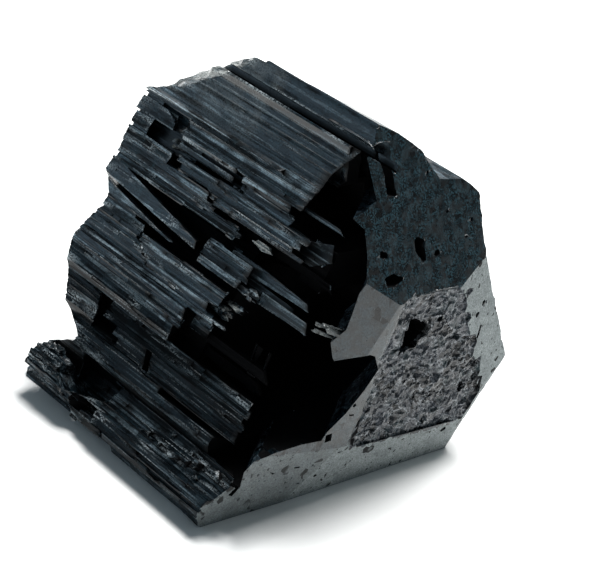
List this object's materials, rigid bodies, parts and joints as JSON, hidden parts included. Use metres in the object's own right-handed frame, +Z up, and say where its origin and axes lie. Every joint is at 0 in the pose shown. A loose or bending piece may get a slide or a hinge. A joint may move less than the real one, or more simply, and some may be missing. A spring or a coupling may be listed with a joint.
{
  "type": "tourmaline crystal",
  "caption": "Stout black crystal with flat growth faces and an etched face on one end, and one broken, gaping side of stepped, striated laths.",
  "frame": {"origin": "under the middle of the crystal's bounding box, on the level of the face that it lies on", "axes": "+X along the crystal's growth axis, towards the end with growth faces; -Y towards the broken side; +Z up"},
  "size_m": [0.0484, 0.0508, 0.0459],
  "materials": {
    "black_tourmaline": "vitreous, opaque black"
  },
  "bodies": {
    "root": {"tourmaline_crystal": "black_tourmaline"}
  },
  "joints": []
}
